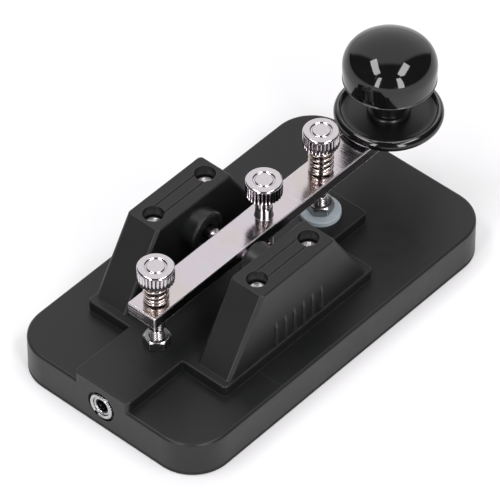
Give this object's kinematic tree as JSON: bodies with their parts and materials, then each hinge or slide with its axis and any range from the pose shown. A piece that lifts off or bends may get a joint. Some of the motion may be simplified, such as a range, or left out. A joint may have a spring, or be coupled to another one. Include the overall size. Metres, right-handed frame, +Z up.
{
  "type": "morse key",
  "caption": "Straight morse key with a sprung rocking lever between two pivot towers, a domed knob, fluted adjusting screws and a jack in the base.",
  "frame": {"origin": "centre of the underside of the anti-slip mat", "axes": "+X along the lever from the jack end to the knob end, +Y to the left seen from the jack end, +Z up"},
  "size_m": [0.1362, 0.07, 0.0615],
  "materials": {
    "shell_black": "fine moulded texture, matte",
    "boss_black": "smooth moulded, satin",
    "mat_rubber": "matte anti-slip rubber",
    "screw_steel": "plated, lightly worn",
    "nickel": "bright nickel plate",
    "nut_zinc": "bright zinc plate",
    "lever_nickel": "nickel plate over brushed bar",
    "spring_nickel": "bright plated spring wire",
    "knob_gloss": "polished",
    "nylon_white": "translucent white nylon",
    "tag_brass": "tinned brass",
    "jack_black": "moulded",
    "wire_red": "insulated",
    "wire_black": "insulated"
  },
  "bodies": {
    "base": {"base_shell": "shell_black", "bottom_cover": "shell_black", "cover_screws": "screw_steel", "anti_slip_mat": "mat_rubber", "tower_left": "shell_black", "tower_right": "shell_black", "tower_screws": "screw_steel", "pivot_boss_left": "boss_black", "pivot_boss_right": "boss_black", "pivot_pin_left": "nickel", "pivot_pin_right": "nickel", "pivot_nuts": "nut_zinc", "stop_bolt": "nut_zinc", "stop_nut": "nut_zinc", "contact_bolt": "nut_zinc", "contact_nut": "nut_zinc", "contact_washer": "nylon_white", "contact_tag": "tag_brass", "spring_seat": "nickel", "spring_seat_nut": "nut_zinc", "spring_seat_tag": "tag_brass", "jack_housing": "jack_black", "jack_bush": "nickel", "jack_nut": "nickel", "jack_tip_contact": "tag_brass", "jack_sleeve_contact": "tag_brass", "wire_tip": "wire_red", "wire_ground": "wire_black"},
    "lever": {"lever_bar": "lever_nickel", "knob_skirt": "knob_gloss", "knob_grip": "knob_gloss", "knob_screw": "screw_steel"},
    "stop_spring_top": {"stop_lock_spring": "spring_nickel"},
    "stop_adjuster": {"stop_screw": "nickel"},
    "tension_spring_top": {"return_spring": "spring_nickel"},
    "tension_adjuster": {"tension_screw": "nickel"},
    "contact_spring_top": {"contact_lock_spring": "spring_nickel"},
    "contact_adjuster": {"contact_screw": "nickel"}
  },
  "joints": [
    {"name": "lever_pivot", "type": "hinge", "parent": "base", "child": "lever", "pos_m": [-0.0097, 0, 0.0307], "axis": [0, 1, 0], "range_deg": [0, 1.61], "stiffness_Nm_per_rad": 1.2, "springref_deg": -5.73, "deforming": ["return_spring"]},
    {"name": "stop_travel", "type": "slide", "parent": "lever", "child": "stop_spring_top", "axis": [0, 0, 1], "range_m": [0, 0.0016], "deforming": ["stop_lock_spring"]},
    {"name": "stop_turn", "type": "hinge", "parent": "stop_spring_top", "child": "stop_adjuster", "pos_m": [-0.04015, 0, 0.0406], "axis": [0, 0, 1], "range_deg": [0, 720]},
    {"name": "tension_travel", "type": "slide", "parent": "lever", "child": "tension_spring_top", "axis": [0, 0, 1], "range_m": [-0.0012, 0.0012], "deforming": ["return_spring"]},
    {"name": "tension_turn", "type": "hinge", "parent": "tension_spring_top", "child": "tension_adjuster", "pos_m": [0.0041, 0, 0.0411], "axis": [0, 0, 1], "range_deg": [-540, 540]},
    {"name": "contact_travel", "type": "slide", "parent": "lever", "child": "contact_spring_top", "axis": [0, 0, 1], "range_m": [0, 0.0016], "deforming": ["contact_lock_spring"]},
    {"name": "contact_turn", "type": "hinge", "parent": "contact_spring_top", "child": "contact_adjuster", "pos_m": [0.0281, 0, 0.0429], "axis": [0, 0, 1], "range_deg": [0, 720]}
  ],
  "couplings": [
    {"joint": "stop_turn", "follows": "stop_travel", "rad_per_m": 7854},
    {"joint": "tension_turn", "follows": "tension_travel", "rad_per_m": 7854},
    {"joint": "contact_turn", "follows": "contact_travel", "rad_per_m": 7854}
  ]
}
